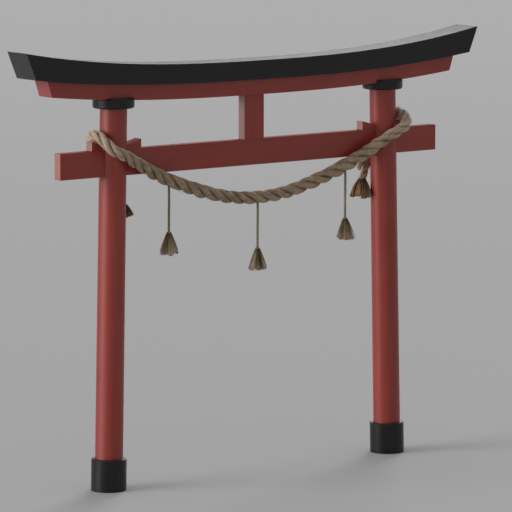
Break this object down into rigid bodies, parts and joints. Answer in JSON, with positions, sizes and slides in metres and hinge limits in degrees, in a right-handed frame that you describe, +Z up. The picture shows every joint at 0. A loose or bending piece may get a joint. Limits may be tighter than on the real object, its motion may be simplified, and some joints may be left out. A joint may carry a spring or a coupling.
{
  "type": "torii gate",
  "caption": "Curved-lintel torii gate: two leaning round pillars, a tie beam with wedges, a red and a black lintel, and a thick straw rope with tassels.",
  "frame": {"origin": "middle of the left pillar's flat foot, on the ground", "axes": "+X along the beams towards the right pillar, +Y through the gate to its back, +Z up"},
  "size_m": [4.779, 0.4801, 3.7183],
  "materials": {
    "vermilion": "vermilion paint, satin",
    "black": "black paint, satin",
    "straw": "twisted rice straw"
  },
  "bodies": {
    "root": {"left_pillar": "vermilion", "right_pillar": "vermilion", "left_foot_sleeve": "black", "right_foot_sleeve": "black", "left_capital": "black", "right_capital": "black", "tie_beam": "vermilion", "left_outer_wedge": "vermilion", "left_inner_wedge": "vermilion", "right_inner_wedge": "vermilion", "right_outer_wedge": "vermilion", "center_strut": "vermilion", "lower_lintel": "vermilion", "top_lintel": "black", "straw_rope": "straw", "left_tassel_cord": "straw", "middle_tassel_cord": "straw", "right_tassel_cord": "straw", "left_tassel": "straw", "middle_tassel": "straw", "right_tassel": "straw", "left_tail_tassel": "straw", "right_tail_tassel": "straw"}
  },
  "joints": []
}
